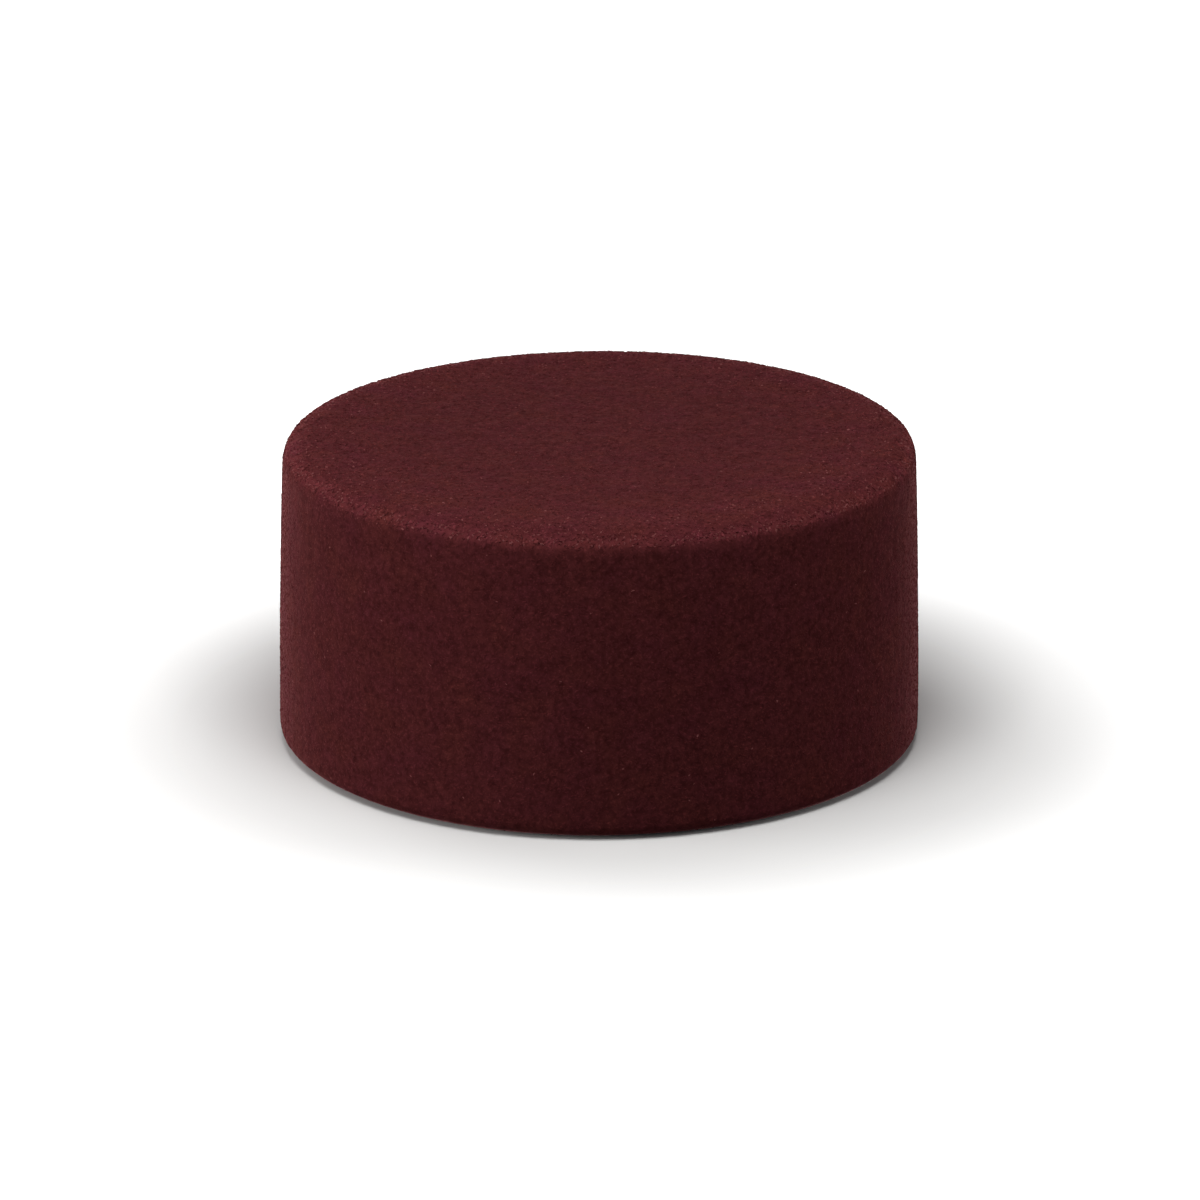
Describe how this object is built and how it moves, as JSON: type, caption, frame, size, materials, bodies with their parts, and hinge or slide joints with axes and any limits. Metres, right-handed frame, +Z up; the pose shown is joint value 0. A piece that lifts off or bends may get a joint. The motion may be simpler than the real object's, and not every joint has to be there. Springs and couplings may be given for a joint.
{
  "type": "round red velvet mud cake",
  "caption": "Round, uncut mud cake with an upright side, a flat top, softly rounded edges and an even coat of fine dark red crumbs",
  "frame": {"origin": "middle of the flat foot, on the surface that the cake stands on", "axes": "+Z is up along the cake's axis, and -Y faces the viewer of the picture"},
  "size_m": [0.1925, 0.1919, 0.0926],
  "materials": {
    "crumb_coat": "fully matt, fine velvety red crumbs"
  },
  "bodies": {
    "root": {"cake": "crumb_coat"}
  },
  "joints": []
}
